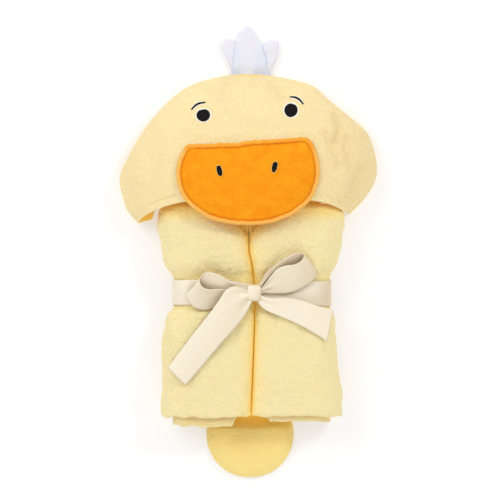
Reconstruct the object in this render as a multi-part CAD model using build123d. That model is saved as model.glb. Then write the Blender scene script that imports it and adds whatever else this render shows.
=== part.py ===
"""Hooded duck bath towel for a baby, folded and rolled into a bundle tied with a satin bow.

The bundle lies on its back.  +X is the bundle's own left-to-right as it is seen from the
front, +Y runs from the tail up to the crest, +Z is up, out of the duck's face.  The origin
is on the floor, under the middle of the whole thing.  Millimetres.
"""
from build123d import *
import math
import os

os.makedirs("parts", exist_ok=True)

# ---------------------------------------------------------------- cloth and ribbon
TERRY = 3.8                 # one layer of terry, pile included
VELOUR = 2.0                # one layer of the thinner velour of bill, crest and tail
THREAD = 0.8                # height of an embroidered patch above its cloth
RIBBON_WIDTH = 25.4         # one-inch satin ribbon
RIBBON_THICK = 0.6
CLEAR = 0.4                 # air between cloth on different moving pieces
SNUG = 0.2                  # air between the tied ribbon and the bundle
SEAM_RADIUS = 1.5           # the roll of cloth inside the crest's sewn hinge line
SEAM_TAPE = 0.8             # the tape sewn over the neck and tail seams
SEAM_HEIGHT = 2.4

# ---------------------------------------------------------------- folded bundle
BUNDLE_TOP = 46.0
BUNDLE_BOTTOM = -163.0
SIDE_TURN = 19.0            # reach of the outer fold at each side
CENTRE_TURN = 11.0          # reach of the turned-under edge at the middle
MIDDLE_GAP = 0.8            # half of the gap between the two front flaps
INNER_END = 20.0            # where the innermost pass stops short of the middle
WAIST = -41.0
WAIST_HALF = 78.0
WAIST_THICK = 39.0
WAIST_LIFT = 1.4            # the tied waist is held just clear of the floor
ROOT_THICK = 1.2
ROOT_LIFT = 2.6             # the bottom fold rides on the root of the tail
HEM_REACH_LEFT = 10.0       # how far the hemmed inner layer shows below the flaps
HEM_REACH_RIGHT = 6.5
HEM_THICK = 8.0

# ---------------------------------------------------------------- hood
HOOD_HEIGHT = 60.5
HOOD_LEFT = 128.0
HOOD_RIGHT = 128.0
HOOD_CROWN = 175.0
RIM_LEFT = (-109.0, 29.0)
RIM_TOP = (-2.0, 55.0)
RIM_RIGHT = (101.0, 38.0)
RIM_HEM = 9.0
RIM_HEM_THICK = 1.2
SIDE_RISE = 5.0             # height of the hood's sewn side above the floor
FACE_LOW = 15.0             # everything sewn on the face is above this height

# ---------------------------------------------------------------- face
EYE_RADIUS = 6.6
EYE_LEFT = (-44.3, 135.3)
EYE_RIGHT = (42.7, 140.3)
BROW_WIDTH = 1.6
NOSTRIL_LENGTH = 10.4
NOSTRIL_WIDTH = 5.0
NOSTRIL_LEFT = (-28.2, 80.0)
NOSTRIL_RIGHT = (26.3, 83.7)
NOSTRIL_TILT = 14.0

# ---------------------------------------------------------------- bill
BILL_TOP_LEFT = (-58.5, 106.0)
BILL_TOP_RIGHT = (57.0, 113.5)
BILL_PADDING = 4.0
BILL_STITCH = 5.0           # topstitching in from the bill's edge

# ---------------------------------------------------------------- crest and tail
CREST_PADDING = 2.4
CREST_RIM = 4.0             # sewn rim of the crest outside its padding
CREST_NECK = 4.4            # flat stretch of the crest beside its seam
TAIL_RADIUS = 43.5
TAIL_X = 3.0
TAIL_CENTRE = -182.5
TAIL_PADDING = 9.0
TAIL_NECK = 11.0            # flat stretch of the tail beside its seam
TAIL_ROOT_HALF = 30.0
TAIL_ROOT_LENGTH = 10.0     # stretch of the tail sewn to the back of the towel
TAIL_SEAM = BUNDLE_BOTTOM - 2.6

# ---------------------------------------------------------------- bow
KNOT = (5.5, -41.5)
KNOT_SIZE = (13.0, 14.0, 10.0)
LOOP_HEIGHT = 15.0
LOOP_WALL = 0.9             # ribbon of the loops and ends, with the air in its folds
LOOP_LEFT = (168.0, 69.0)   # direction in degrees and reach from the knot's middle
LOOP_RIGHT = (27.0, 64.0)
TAIL_END_LEFT = (227.0, 113.0)
TAIL_END_RIGHT = (-24.0, 86.0)

nodes = {}


def put(name, shape):
    """Keep a finished piece under its node name."""
    shape.label = name
    nodes[name] = shape


# ================================================================ the folded bundle
# Each station is (y, middle x, half width, thickness, lift off the floor).
half_ribbon = RIBBON_WIDTH / 2 + 1.5


def lower(share):
    """A height between the bottom end, 0, and the lower side of the tied waist, 1."""
    return BUNDLE_BOTTOM + share * (WAIST - half_ribbon - BUNDLE_BOTTOM)


STATIONS = [
    (BUNDLE_BOTTOM, 3.5, 90.5, 45.0, ROOT_LIFT),
    (lower(0.232), 3.5, 90.0, 48.0, 0.0),
    (lower(0.631), 2.0, 86.0, 48.0, 0.0),
    (lower(0.901), 2.5, 84.0, 45.0, 0.0),
    (WAIST - half_ribbon, 4.0, WAIST_HALF, WAIST_THICK, WAIST_LIFT),
    (WAIST + half_ribbon, 4.0, WAIST_HALF, WAIST_THICK, WAIST_LIFT),
    (-12.0, 1.5, 87.0, 46.0, 0.0),
    (12.0, 0.5, 93.0, 48.0, 0.0),
    (29.0, 0.5, 95.0, 47.0, 0.0),
    (BUNDLE_TOP, 0.5, 80.0, 42.0, 0.0),
]


def at_station(station, side, across, up):
    """A point of the folded section: across in mm from the edge or middle, up in quarters."""
    y, middle, half, thick, lift = station
    return Vector(middle + side * across(half), y, lift + thick * up)


def from_edge(reach):
    return lambda half: half - reach


def from_middle(reach):
    return lambda half: reach


def section_face(station, side, path):
    """One closed outline: path holds points, and an arc where an entry has a middle point."""
    edges = []
    start = at_station(station, side, *path[0])
    first = start
    for step in path[1:]:
        if len(step) == 2:
            end = at_station(station, side, *step)
            edges.append(Line(start, end))
        else:
            middle = at_station(station, side, *step[:2])
            end = at_station(station, side, *step[2:])
            edges.append(ThreePointArc(start, middle, end))
        start = end
    edges.append(Line(start, first))
    return Face(Wire(edges))


def bundle_piece(path, side=1):
    return loft([section_face(station, side, path) for station in STATIONS], ruled=True)


def back_face(station):
    y, middle, half, thick, lift = station
    reach = half - SIDE_TURN
    corners = [(-reach, 0), (reach, 0), (reach, 0.25), (-reach, 0.25)]
    points = [Vector(middle + x, y, lift + thick * up) for x, up in corners]
    return Face(Wire(Polyline(*points, close=True)))


put("towel_back_layers", loft([back_face(station) for station in STATIONS], ruled=True))

turn = from_edge(SIDE_TURN)
side_path = [
    (turn, 0.0),
    (from_edge(0.0), 0.5, turn, 1.0),
    (turn, 0.75),
    (from_edge(SIDE_TURN / 2), 0.5, turn, 0.25),
]
middle_turn = from_middle(MIDDLE_GAP + CENTRE_TURN)
front_path = [
    (turn, 0.75),
    (turn, 1.0),
    (middle_turn, 1.0),
    (from_middle(MIDDLE_GAP), 0.75, middle_turn, 0.5),
    (middle_turn, 0.75),
]
inner_path = [
    (middle_turn, 0.5),
    (middle_turn, 0.75),
    (turn, 0.75),
    (from_edge(SIDE_TURN / 2), 0.5, turn, 0.25),
    (from_middle(INNER_END), 0.25),
    (from_middle(INNER_END), 0.5),
]
for side, word in ((-1, "left"), (1, "right")):
    put(f"towel_{word}_side_fold", bundle_piece(side_path, side))
    put(f"towel_{word}_front_flap", bundle_piece(front_path, side))
    put(f"towel_{word}_inner_fold", bundle_piece(inner_path, side))

# The hemmed edge of the innermost pass shows below the flaps.
bottom = STATIONS[0]
hem_middle_z = bottom[4] + bottom[3] * 0.375
for side, word, reach in ((-1, "left", HEM_REACH_LEFT), (1, "right", HEM_REACH_RIGHT)):
    outer = bottom[2] - SIDE_TURN + 8.0
    hem = Box(outer - INNER_END, reach, HEM_THICK)
    hem = fillet(hem.edges().filter_by(Axis.X), HEM_THICK * 0.3)
    middle_x = bottom[1] + side * (outer + INNER_END) / 2
    put(f"towel_{word}_hem", Pos(middle_x, BUNDLE_BOTTOM - reach / 2, hem_middle_z) * hem)


# ================================================================ ribbon round the waist
def waist_outline(grow):
    """The bundle's outer outline at the waist, grown by some air and ribbon."""
    half = WAIST_HALF + grow
    low = WAIST_LIFT - grow
    high = WAIST_LIFT + WAIST_THICK + grow
    reach = WAIST_HALF - SIDE_TURN
    middle = STATIONS[4][1]
    mid_z = (low + high) / 2
    y = WAIST + RIBBON_WIDTH / 2
    corner = [Vector(middle + x, y, z) for x, z in ((-reach, low), (reach, low), (reach, high), (-reach, high))]
    right = ThreePointArc(corner[1], Vector(middle + half, y, mid_z), corner[2])
    left = ThreePointArc(corner[3], Vector(middle - half, y, mid_z), corner[0])
    return Face(Wire([Line(corner[0], corner[1]), right, Line(corner[2], corner[3]), left]))


def waist_prism(grow):
    return extrude(waist_outline(grow), amount=RIBBON_WIDTH, dir=(0, -1, 0))


put("ribbon_band", waist_prism(SNUG + RIBBON_THICK) - waist_prism(SNUG))
band_top = WAIST_LIFT + WAIST_THICK + SNUG + RIBBON_THICK

knot_z = band_top + KNOT_SIZE[2] / 2
knot = Box(*KNOT_SIZE)
knot = fillet(knot.edges(), 2.6)
put("bow_knot", Pos(*KNOT, knot_z) * knot)


def prism(face, low=-10.0, high=100.0):
    return Pos(0, 0, low) * extrude(face, amount=high - low, dir=(0, 0, 1))


# ================================================================ bow loops and bow tails
BOW_START = 10.5            # where a loop or a tail leaves the knot, from its middle
BOW_PINCH = 3.0             # half width of the gathered ribbon at the knot
BOW_OPEN = 33.0             # distance from the knot at which the ribbon is full width


def bow_plan(reach, skew=0.0):
    """A gathered ribbon in plan: it leaves the knot along +X and opens to full width."""
    half = RIBBON_WIDTH / 2
    points = [
        (BOW_START, -BOW_PINCH), (BOW_OPEN, -half), (reach - skew, -half),
        (reach + skew, half), (BOW_OPEN, half), (BOW_START, BOW_PINCH),
    ]
    return prism(make_face(Polyline(*points, close=True)))


def ribbon_loop(direction, reach):
    """A loop in side view is a drop shape: it leaves the knot, turns and comes back."""
    base = KNOT_SIZE[2] / 2
    middle = Spline(
        (BOW_START, base + 1.2), (BOW_OPEN, base + LOOP_HEIGHT * 0.55),
        (reach - 12.0, base + LOOP_HEIGHT * 0.8), (reach, base + LOOP_HEIGHT * 0.5),
        (reach - 12.0, base + 3.6), (BOW_OPEN, base + 1.2), (BOW_START, base - 0.8),
    )
    band = extrude(Plane.XZ * trace(middle, LOOP_WALL), amount=RIBBON_WIDTH, both=True)
    return Pos(*KNOT, band_top) * Rot(0, 0, direction) * (band & bow_plan(reach + 5.0))


def ribbon_tail(direction, reach, skew):
    """A ribbon end that lies over the swell of the bundle, with a slanted cut."""
    low = 1.2
    rise = STATIONS[2][3] - band_top + CLEAR + 1.0
    path = [(BOW_START, low), (BOW_OPEN - 10.0, rise * 0.62), (BOW_OPEN + 14.0, rise), (reach + 20.0, rise)]
    over = [(x, z + LOOP_WALL) for x, z in reversed(path)]
    side_view = make_face(Polyline(*path, *over, close=True))
    strip = extrude(Plane.XZ * side_view, amount=RIBBON_WIDTH, both=True)
    return Pos(*KNOT, band_top) * Rot(0, 0, direction) * (strip & bow_plan(reach, skew))


put("bow_loop_left", ribbon_loop(*LOOP_LEFT))
put("bow_loop_right", ribbon_loop(*LOOP_RIGHT))
put("bow_tail_left", ribbon_tail(*TAIL_END_LEFT, skew=-1.0))
put("bow_tail_right", ribbon_tail(*TAIL_END_RIGHT, skew=-2.0))

# ================================================================ the hood's puffed shape
NECK = (0.0, BUNDLE_TOP + SEAM_TAPE + 0.1, 0.0)
neck_room_y = NECK[1] + CLEAR
BUNDLE_ROOM = 98.0          # half width kept clear for the bundle's top end
BELOW_FLOOR = 12.0          # how far the construction shapes reach below the floor

# Each hood station is (y, left share, right share, height share) of the hood's full sizes.
HOOD_STATIONS = [
    (18.0, 0.76, 0.64, 0.940),
    (38.0, 0.925, 0.79, 0.960),
    (54.0, 0.975, 0.915, 0.985),
    (74.0, 1.0, 1.0, 1.0),
    (95.0, 0.935, 0.99, 0.975),
    (115.0, 0.845, 0.935, 0.905),
    (135.0, 0.73, 0.79, 0.765),
    (152.0, 0.60, 0.62, 0.580),
    (166.0, 0.44, 0.49, 0.330),
    (HOOD_CROWN, 0.19, 0.20, 0.110),
]
# Share of the half width against share of the height, over one side of the section.
HOOD_CURVE = [(1.0, 0.0), (0.95, 0.38), (0.80, 0.74), (0.45, 0.955), (0.0, 1.0)]


def hood_section(station, grow):
    y, left, right, height = station
    left = left * HOOD_LEFT + grow
    right = right * HOOD_RIGHT + grow
    top = height * HOOD_HEIGHT + grow
    base = min(SIDE_RISE - min(grow, 0) * 0.5, top - 2.0)
    over = [(-left * u, base + (top - base) * h) for u, h in HOOD_CURVE]
    over += [(right * u, base + (top - base) * h) for u, h in reversed(HOOD_CURVE[:-1])]
    curve = Spline(*[Vector(x, y, z) for x, z in over])
    low_left, low_right = Vector(-left, y, -BELOW_FLOOR), Vector(right, y, -BELOW_FLOOR)
    sides = [Line(low_left, curve @ 0), curve, Line(curve @ 1, low_right), Line(low_right, low_left)]
    return Face(Wire(sides))


def puff(grow):
    """The hood's filled shape, grown outwards by some millimetres, or shrunk to its hollow."""
    tall = [station for station in HOOD_STATIONS if station[3] * HOOD_HEIGHT + 2 * grow > 2 * SIDE_RISE - 4]
    return loft([hood_section(station, grow) for station in tall])


def layer(outline, inner, outer):
    """A layer of cloth laid over the hood, between two distances from its outside."""
    return (prism(outline, low=FACE_LOW) & puff(outer)) - puff(inner)


hood_outside = puff(0)
hood_inside = puff(-TERRY)


def mouth(inset):
    """Everything below the hood's rim, moved up by the inset."""
    arc = ThreePointArc(*[(x, y + inset) for x, y in (RIM_LEFT, RIM_TOP, RIM_RIGHT)])
    left_low = (-200.0, -50.0)
    left_high = (-200.0, RIM_LEFT[1] + inset - 12.0)
    right_high = (200.0, RIM_RIGHT[1] + inset - 12.0)
    right_low = (200.0, -50.0)
    rest = Polyline(arc @ 1, right_high, right_low, left_low, left_high, arc @ 0)
    return prism(make_face(arc.edges() + rest.edges()))


BASE = (Align.CENTER, Align.CENTER, Align.MIN)
floor_slab = Box(600, 600, TERRY, align=BASE)
under_slab = Pos(0, 0, -2 * BELOW_FLOOR) * Box(600, 600, 2 * BELOW_FLOOR + TERRY, align=BASE)
bundle_room = Pos(0.5, 0, 0) * Box(2 * BUNDLE_ROOM, 2 * neck_room_y, 80)
hood_shell = (hood_outside - hood_inside) - mouth(0) - bundle_room
put("hood_front_panel", hood_shell - under_slab)
rim_strip = mouth(RIM_HEM) - mouth(0)
rim_hem = ((hood_inside - puff(-TERRY - RIM_HEM_THICK)) & rim_strip) - under_slab - bundle_room
put("hood_rim_hem", rim_hem.solids().sort_by(SortBy.VOLUME)[-1])

# The back panel is flat on the floor, from the neck seam to the crown.
put("hood_back_panel", (floor_slab & hood_outside) - mouth(0) - bundle_room)
neck_width = 2 * STATIONS[-1][2] - 12.0
neck_tape = Box(neck_width, SEAM_TAPE, SEAM_HEIGHT, align=(Align.CENTER, Align.MIN, Align.MIN))
put("neck_seam", Pos(0, BUNDLE_TOP, 0) * neck_tape)

# ================================================================ eyes and eyebrows
for word, (x, y), stretch in (("left", EYE_LEFT, 0.94), ("right", EYE_RIGHT, 1.0)):
    outline = Pos(x, y) * Ellipse(EYE_RADIUS, EYE_RADIUS * stretch)
    put(f"eye_{word}", layer(outline, 0, THREAD))

BROWS = {
    "left": [(-55.8, 142.0), (-50.5, 146.8), (-43.0, 148.6)],
    "right": [(42.0, 154.0), (49.0, 152.2), (54.6, 146.6)],
}
for word, points in BROWS.items():
    arc = ThreePointArc(*points)
    outline = trace(arc, BROW_WIDTH)
    put(f"eyebrow_{word}", layer(outline, 0, THREAD))

# ================================================================ bill
bill_edge = Spline(
    BILL_TOP_RIGHT, (68.0, 96.0), (71.0, 76.0), (62.0, 51.0), (34.0, 31.5), (1.0, 25.8),
    (-31.0, 29.0), (-60.0, 46.0), (-71.0, 72.0), (-66.0, 96.0), BILL_TOP_LEFT,
)
bill_outline = make_face(Wire([bill_edge, Line(BILL_TOP_LEFT, BILL_TOP_RIGHT)]))


def inset(outline, amount):
    """The same outline, drawn in by some millimetres all round."""
    box = outline.bounding_box()
    middle = box.center()
    across, along = 1 - 2 * amount / box.size.X, 1 - 2 * amount / box.size.Y
    small = scale(outline, by=(across, along, 1))
    return Pos(middle.X * (1 - across), middle.Y * (1 - along)) * small


bill_inset = inset(bill_outline, BILL_STITCH)
bill_low = CLEAR
bill_mid = bill_low + VELOUR
bill_high = bill_mid + BILL_PADDING
bill_top = bill_high + VELOUR

put("bill_back_panel", layer(bill_outline, bill_low, bill_mid))
put("bill_padding", layer(bill_inset, bill_mid, bill_high))
bill_cap = layer(bill_outline, bill_mid, bill_top) - (prism(bill_inset) & puff(bill_high))
put("bill_front_panel", bill_cap)
stitch_line = inset(bill_outline, BILL_STITCH - 0.5) - inset(bill_outline, BILL_STITCH + 0.5)
put("bill_topstitch", layer(stitch_line, bill_top, bill_top + 0.5))
for word, (x, y), tilt in (("left", NOSTRIL_LEFT, NOSTRIL_TILT), ("right", NOSTRIL_RIGHT, -NOSTRIL_TILT)):
    outline = Pos(x, y) * Rot(0, 0, tilt) * Ellipse(NOSTRIL_WIDTH / 2, NOSTRIL_LENGTH / 2)
    put(f"nostril_{word}", layer(outline, bill_top, bill_top + THREAD))

# ================================================================ crest
CREST_SIDE_LEFT = [(-17.0, CREST_NECK), (-24.5, 19.0), (-29.0, 28.5), (-21.5, 35.0), (-14.8, 30.5)]
CREST_TIP = [(-14.8, 30.5), (-11.0, 40.0), (-2.3, 48.8), (6.5, 41.0), (12.6, 26.8)]
CREST_SIDE_RIGHT = [(12.6, 26.8), (24.5, 35.0), (29.2, 27.5), (27.0, 14.0), (19.5, CREST_NECK)]
crest_seam_y = HOOD_CROWN + SEAM_RADIUS + CLEAR
CREST = (2.0, crest_seam_y, 4.0)
crest_base = Line(CREST_SIDE_RIGHT[-1], CREST_SIDE_LEFT[0])
crest_edges = [Spline(*CREST_SIDE_LEFT), Spline(*CREST_TIP), Spline(*CREST_SIDE_RIGHT), crest_base]
crest_outline = Pos(CREST[0], 0) * make_face(Wire(crest_edges))
crest_inset = inset(crest_outline, CREST_RIM)
crest_thick = 2 * VELOUR * 0.8 + CREST_PADDING
crest_low = -crest_thick / 2
skin = VELOUR * 0.8


def crest_slab(outline, low, high):
    return Pos(0, crest_seam_y, 0) * prism(outline, CREST[2] + low, CREST[2] + high)


put("crest_back_panel", crest_slab(crest_outline, crest_low, crest_low + skin))
put("crest_padding", crest_slab(crest_inset, crest_low + skin, -crest_low - skin))
crest_cap = crest_slab(crest_outline, crest_low + skin, -crest_low)
put("crest_front_panel", crest_cap - crest_slab(crest_inset, crest_low + skin, -crest_low - skin))
crest_base_width = CREST_SIDE_RIGHT[-1][0] - CREST_SIDE_LEFT[0][0]
tab_length = CREST_NECK - SEAM_RADIUS - CLEAR
crest_tab = Box(crest_base_width - 4.0, tab_length, 1.6)
tab_y = crest_seam_y + SEAM_RADIUS + CLEAR + tab_length / 2
put("crest_seam_tab", Pos(CREST[0], tab_y, CREST[2]) * crest_tab)
put("crest_seam", Pos(*CREST) * Rot(0, 90, 0) * Cylinder(SEAM_RADIUS, crest_base_width - 4.0))

# ================================================================ tail
TAIL = (TAIL_X, TAIL_SEAM, 0.0)
tail_top = TAIL_SEAM - TAIL_NECK


def tail_outline(inset):
    """A round tail, cut straight across beside its seam."""
    radius = TAIL_RADIUS - inset
    top = tail_top - inset
    left, right = (TAIL_X - radius, top), (TAIL_X + radius, top)
    arc = ThreePointArc(left, (TAIL_X, TAIL_CENTRE - radius), right)
    return make_face([arc, Line(right, left)])


tail_low = CLEAR
tail_skin = VELOUR
tail_thick = TAIL_PADDING + 2 * tail_skin
tail_block = prism(tail_outline(0), tail_low, tail_low + tail_thick)
tail_block = fillet(tail_block.edges().group_by(Axis.Z)[-1], 5.0)
tail_inner = prism(tail_outline(3.5), tail_low + tail_skin, tail_low + tail_skin + TAIL_PADDING)
tail_inner = fillet(tail_inner.edges().group_by(Axis.Z)[-1], 2.5)
tail_floor = Pos(0, 0, -10) * Box(600, 600, 10 + tail_low + tail_skin, align=(Align.CENTER, Align.CENTER, Align.MIN))
put("tail_back_panel", tail_block & tail_floor)
put("tail_stuffing", tail_inner)
put("tail_front_panel", (tail_block - tail_floor) - tail_inner)
neck_length = TAIL_NECK - CLEAR
tail_tab = Box(2 * TAIL_ROOT_HALF, neck_length, SEAM_HEIGHT, align=(Align.CENTER, Align.MAX, Align.MIN))
put("tail_seam_tab", Pos(TAIL_X, TAIL_SEAM - CLEAR, 0.2) * tail_tab)
tape = Box(2 * TAIL_ROOT_HALF, SEAM_TAPE, SEAM_HEIGHT, align=(Align.CENTER, Align.MIN, Align.MIN))
put("tail_seam", Pos(TAIL_X, TAIL_SEAM + 2 * CLEAR, 0) * tape)
root_tab = Box(2 * TAIL_ROOT_HALF, TAIL_ROOT_LENGTH, ROOT_THICK, align=(Align.CENTER, Align.MIN, Align.MIN))
put("tail_root", Pos(TAIL_X, TAIL_SEAM + 2 * CLEAR + SEAM_TAPE, 0) * root_tab)

# ================================================================ write the parts
for name, shape in nodes.items():
    export_step(shape, f"parts/{name}.step")
    box = shape.bounding_box()
    print(f"{name:24s} {len(shape.solids()):2d} solid  x {box.min.X:7.1f} {box.max.X:7.1f}  "
          f"y {box.min.Y:7.1f} {box.max.Y:7.1f}  z {box.min.Z:6.1f} {box.max.Z:6.1f}")
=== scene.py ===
"""Hooded duck bath towel, folded, rolled and tied with a satin bow: its looks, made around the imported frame.

Shapes are worked out in millimetres and put into the scene in metres.
"""
import math

import bmesh
import bpy
import numpy as np
from bpy.props import FloatProperty, FloatVectorProperty, PointerProperty
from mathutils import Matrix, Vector


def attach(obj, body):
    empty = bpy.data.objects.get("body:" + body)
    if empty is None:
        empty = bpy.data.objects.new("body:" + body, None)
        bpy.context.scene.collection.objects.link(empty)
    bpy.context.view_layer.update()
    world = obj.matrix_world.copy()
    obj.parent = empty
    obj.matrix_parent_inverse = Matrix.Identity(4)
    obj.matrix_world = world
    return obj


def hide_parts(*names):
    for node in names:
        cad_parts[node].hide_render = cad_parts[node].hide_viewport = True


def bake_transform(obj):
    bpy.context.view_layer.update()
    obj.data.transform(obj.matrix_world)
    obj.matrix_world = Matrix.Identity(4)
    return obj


bl_info = {
    "name": "Hooded Duck Towel Bundle",
    "version": (1, 0, 0),
    "blender": (4, 5, 0),
    "location": "View3D > Sidebar > Towel",
    "description": "Makes a hooded duck bath towel, rolled up and tied with a satin bow",
    "category": "Add Mesh",
}

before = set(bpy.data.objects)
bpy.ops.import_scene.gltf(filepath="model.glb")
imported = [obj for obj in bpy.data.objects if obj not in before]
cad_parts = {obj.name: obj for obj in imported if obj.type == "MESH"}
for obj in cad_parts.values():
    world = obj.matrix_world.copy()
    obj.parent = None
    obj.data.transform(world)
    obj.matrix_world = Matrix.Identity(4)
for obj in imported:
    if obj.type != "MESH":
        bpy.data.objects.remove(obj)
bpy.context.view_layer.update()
MM = 0.001
KNOT = (5.5, -41.5)  # middle of the bow's knot, in millimetres
RIBBON_WIDE = 25.4  # one-inch satin ribbon, in millimetres


# ---------------------------------------------------------------- colours
def from_hex(text):
    """An sRGB hex colour as linear red, green and blue."""
    parts = [int(text[i:i + 2], 16) / 255 for i in (0, 2, 4)]
    return tuple(c / 12.92 if c <= 0.04045 else ((c + 0.055) / 1.055) ** 2.4 for c in parts)


def colour(name, words, text):
    return FloatVectorProperty(name=name, description=words, subtype="COLOR", size=3, min=0, max=1,
                               default=from_hex(text))


def length(name, words, value, low, high):
    return FloatProperty(name=name, description=words, default=value, min=low, max=high,
                         unit="LENGTH", precision=5)


class DuckTowelSizes(bpy.types.PropertyGroup):
    """Sizes a maker would change."""
    cloth: length("Terry thickness", "Thickness of one layer of terry, pile included", 0.0032, 0.002, 0.0036)
    wrinkle: length("Wrinkles", "Height of the soft unevenness of the cloth", 0.0007, 0, 0.002)
    ribbon: length("Ribbon thickness", "Thickness of the satin ribbon", 0.0005, 0.0002, 0.0008)
    thread: length("Embroidery thread", "Radius of one embroidery thread", 0.00034, 0.0002, 0.0006)
    stitch: length("Stitch length", "Length of one topstitch, with its gap", 0.0028, 0.0015, 0.006)


class DuckTowelColours(bpy.types.PropertyGroup):
    """Colours a maker would change."""
    terry: colour("Terry", "Pale yellow of the towel and the hood", "FAE7B4")
    tail: colour("Tail", "Deeper yellow of the tail", "F8E093")
    bill: colour("Bill", "Orange of the bill", "FAA318")
    rim: colour("Bill rim", "Paler orange of the bill's rolled edge", "F9BF66")
    crest: colour("Crest", "White of the crest", "E4E4ED")
    satin: colour("Satin", "Cream of the ribbon", "E9DDC6")
    dark: colour("Dark thread", "Near-black of the embroidery", "0E0C0C")


def sizes():
    return bpy.context.scene.duck_towel_sizes


def colours():
    return bpy.context.scene.duck_towel_colours


# ---------------------------------------------------------------- curves and small maths
def through(points, t, closed=False):
    """Points of the smooth curve through the given points, at parameters t from 0 to 1."""
    p = np.asarray(points, float)
    if closed:
        q, spans = np.vstack([p[-1:], p, p[:2]]), len(p)
    else:
        q, spans = np.vstack([2 * p[:1] - p[1:2], p, 2 * p[-1:] - p[-2:-1]]), len(p) - 1
    s = np.clip(np.asarray(t, float), 0, 1) * spans
    i = np.minimum(s.astype(int), spans - 1)
    f = (s - i)[:, None]
    a, b, c, d = q[i], q[i + 1], q[i + 2], q[i + 3]
    bend, turn = 2 * a - 5 * b + 4 * c - d, 3 * b - a - 3 * c + d
    return 0.5 * (2 * b + (c - a) * f + bend * f ** 2 + turn * f ** 3)


def evenly(points, count, closed=False, smooth=True):
    """The same curve as points evenly spaced along it."""
    if smooth:
        dense = through(points, np.linspace(0, 1, count * 6 + 1), closed)
    else:
        dense = np.asarray(points, float)
    run = np.r_[0, np.cumsum(np.linalg.norm(np.diff(dense, axis=0), axis=1))]
    want = np.linspace(0, run[-1], count + closed)[:count]
    return np.stack([np.interp(want, run, dense[:, k]) for k in range(dense.shape[1])], 1)


def profile(ys, values):
    """A smooth function of y through the given values."""
    dense = through(np.c_[ys, values], np.linspace(0, 1, 600))
    return lambda y: np.interp(y, dense[:, 0], dense[:, 1])


def ease(x, low, high):
    """0 below low, 1 above high, and a soft step between."""
    t = np.clip((np.asarray(x, float) - low) / (high - low), 0, 1)
    return t * t * (3 - 2 * t)


def ripples(x, y, size, seed):
    """Soft unevenness between about -1 and 1, with swells of the given size."""
    rng = np.random.RandomState(seed)
    total = 0
    for _ in range(8):
        turn, phase, step = rng.uniform(0, math.tau), rng.uniform(0, math.tau), rng.uniform(0.7, 1.6)
        total = total + np.sin((x * math.cos(turn) + y * math.sin(turn)) * math.tau / (size * step) + phase)
    return total / 3.4


def to_line(x, y, points):
    """Distance in plan from each (x, y) to a run of points."""
    p = np.asarray(points, float)[:, :2]
    spot = np.stack([np.ravel(x), np.ravel(y)], 1)
    best = np.full(len(spot), 1e9)
    for a, b in zip(p[:-1], p[1:]):
        run = b - a
        t = np.clip(((spot - a) @ run) / max(run @ run, 1e-9), 0, 1)
        best = np.minimum(best, np.linalg.norm(spot - a - t[:, None] * run, axis=1))
    return best.reshape(np.shape(x))


# ---------------------------------------------------------------- meshes
def grid_faces(rows, cols, wrap=False):
    """Quads of a grid of rows by cols points; wrap joins the last column to the first."""
    last = cols if wrap else cols - 1
    return [(r * cols + c, r * cols + (c + 1) % cols, (r + 1) * cols + (c + 1) % cols, (r + 1) * cols + c)
            for r in range(rows - 1) for c in range(last)]


def add_mesh(name, points, faces, material, shares=None, uv=None, edges=()):
    """A smooth mesh object from points in millimetres, with float attributes and a UV map per point."""
    mesh = bpy.data.meshes.new(name)
    mesh.from_pydata((np.asarray(points, float).reshape(-1, 3) * MM).tolist(), list(edges), faces)
    for key, values in (shares or {}).items():
        layer = mesh.attributes.new(key, "FLOAT", "POINT")
        layer.data.foreach_set("value", np.ravel(values).astype(np.float32))
    if uv is not None:
        flat = np.asarray(uv, float).reshape(-1, 2)
        layer = mesh.uv_layers.new(name="cloth")
        corner = np.empty(len(mesh.loops), dtype=np.int32)
        mesh.loops.foreach_get("vertex_index", corner)
        layer.data.foreach_set("uv", flat[corner].astype(np.float32).ravel())
    mesh.validate()
    if faces:
        mesh.shade_smooth()
    mesh.materials.append(material)
    piece = bpy.data.objects.new(name, mesh)
    bpy.context.scene.collection.objects.link(piece)
    return piece


def settle(piece):
    """Apply every modifier, so that the piece is a plain mesh."""
    graph = bpy.context.evaluated_depsgraph_get()
    graph.update()
    made = bpy.data.meshes.new_from_object(piece.evaluated_get(graph))
    piece.modifiers.clear()
    old, piece.data = piece.data, made
    bpy.data.meshes.remove(old)
    made.name = piece.name
    return piece


def thicken(piece, thick, offset=0.0, inside=None):
    """Give a sheet its thickness in metres; inside is the material of its other face."""
    wall = piece.modifiers.new("thickness", "SOLIDIFY")
    wall.thickness, wall.offset, wall.use_even_offset = thick, offset, False
    if inside:
        piece.data.materials.append(inside)
        wall.material_offset = 1
    return settle(piece)


def join(name, pieces):
    """Several finished meshes as one piece."""
    first = pieces[0]
    with bpy.context.temp_override(active_object=first, selected_editable_objects=pieces, object=first):
        bpy.ops.object.join()
    first.name = first.data.name = name
    return first


# Direction of the one fixed light whose shade and highlight are painted on the satin.
PAINTED_LIGHT_DIRECTION = np.array([-0.34, 0.40, 0.85])


def painted_satin_shade(piece):
    """Painted shade and highlight: mark how far each point of a satin face turns to one fixed light."""
    normals = np.empty(len(piece.data.vertices) * 3, dtype=np.float32)
    piece.data.vertex_normals.foreach_get("vector", normals)
    along = normals.reshape(-1, 3) @ PAINTED_LIGHT_DIRECTION
    layer = piece.data.attributes.new("painted_satin_shade", "FLOAT", "POINT")
    layer.data.foreach_set("value", np.clip(1.4 * along - 0.35, 0, 1).astype(np.float32))


def outward(piece):
    """Turn the faces of a closed mesh outwards."""
    work = bmesh.new()
    work.from_mesh(piece.data)
    bmesh.ops.recalc_face_normals(work, faces=work.faces)
    work.to_mesh(piece.data)
    work.free()


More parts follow.
